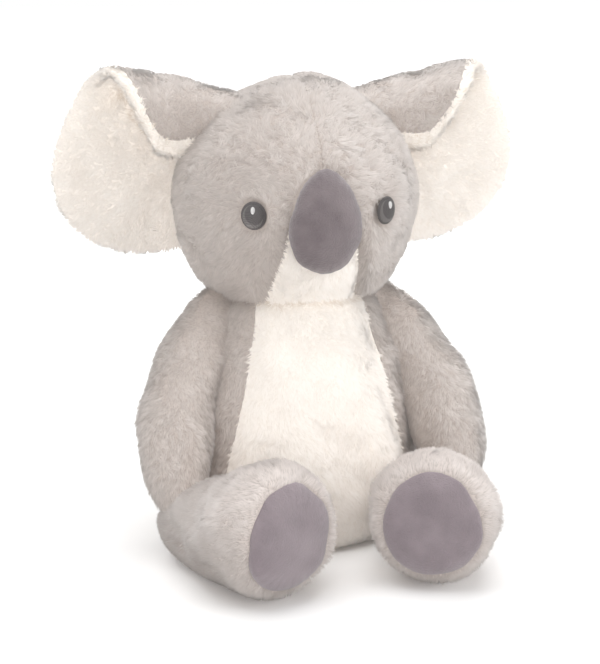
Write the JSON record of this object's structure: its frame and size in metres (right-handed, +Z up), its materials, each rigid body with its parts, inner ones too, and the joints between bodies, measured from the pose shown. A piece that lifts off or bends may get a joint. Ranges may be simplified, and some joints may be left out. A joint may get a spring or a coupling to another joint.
{
  "type": "plush koala",
  "caption": "Soft sitting koala of grey and cream pile fabric with large curled ears, a padded suede nose and suede soles.",
  "frame": {"origin": "middle of the seat, on the surface it rests on", "axes": "+Z up, -Y the way the koala faces, +X the koala's own left side"},
  "size_m": [0.2176, 0.1734, 0.2158],
  "materials": {
    "grey_plush": "short dense pile, warm grey",
    "cream_plush": "short dense pile, cream",
    "nose_suede": "brushed suede cloth, mauve grey",
    "sole_suede": "brushed suede cloth, mauve grey",
    "eye_thread": "dense satin stitch, charcoal",
    "polyester_fibre": "loose white fibre",
    "pellet_cloth": "plain woven cloth"
  },
  "bodies": {
    "torso": {"belly_panel": "cream_plush", "back_panel_left": "grey_plush", "back_panel_right": "grey_plush", "torso_stuffing": "polyester_fibre", "pellet_pouch": "pellet_cloth"},
    "head": {"head_panel_left": "grey_plush", "head_panel_right": "grey_plush", "muzzle_panel": "cream_plush", "nose_pad": "nose_suede", "eye_left": "eye_thread", "eye_right": "eye_thread", "head_stuffing": "polyester_fibre"},
    "left_ear": {"ear_front_left": "cream_plush", "ear_back_left": "grey_plush"},
    "left_arm": {"arm_left": "grey_plush", "arm_stuffing_left": "polyester_fibre"},
    "left_leg": {"leg_left": "grey_plush", "sole_pad_left": "sole_suede", "leg_stuffing_left": "polyester_fibre"},
    "right_ear": {"ear_front_right": "cream_plush", "ear_back_right": "grey_plush"},
    "right_arm": {"arm_right": "grey_plush", "arm_stuffing_right": "polyester_fibre"},
    "right_leg": {"leg_right": "grey_plush", "sole_pad_right": "sole_suede", "leg_stuffing_right": "polyester_fibre"}
  },
  "joints": [
    {"name": "head_turn", "type": "hinge", "parent": "torso", "child": "head", "pos_m": [0, 0.004, 0.1075], "axis": [0, 0, 1], "range_deg": [-20, 20], "stiffness_Nm_per_rad": 0.08},
    {"name": "ear_flex_left", "type": "hinge", "parent": "head", "child": "left_ear", "pos_m": [0.04655, 0.0225, 0.16422], "axis": [-0.1512, -0.1906, 0.97], "range_deg": [-8, 25], "stiffness_Nm_per_rad": 0.02},
    {"name": "arm_lift_left", "type": "hinge", "parent": "torso", "child": "left_arm", "pos_m": [0.031, 0, 0.1075], "axis": [0, -1, 0], "range_deg": [0, 20]},
    {"name": "leg_splay_left", "type": "hinge", "parent": "torso", "child": "left_leg", "pos_m": [0.067, -0.02, 0], "axis": [0, 0, 1], "range_deg": [0, 10]},
    {"name": "ear_flex_right", "type": "hinge", "parent": "head", "child": "right_ear", "pos_m": [-0.04655, 0.0225, 0.16422], "axis": [-0.1512, 0.1906, -0.97], "range_deg": [-8, 25], "stiffness_Nm_per_rad": 0.02},
    {"name": "arm_lift_right", "type": "hinge", "parent": "torso", "child": "right_arm", "pos_m": [-0.031, 0, 0.1075], "axis": [0, 1, 0], "range_deg": [0, 20]},
    {"name": "leg_splay_right", "type": "hinge", "parent": "torso", "child": "right_leg", "pos_m": [-0.067, -0.02, 0], "axis": [0, 0, -1], "range_deg": [0, 10]}
  ]
}
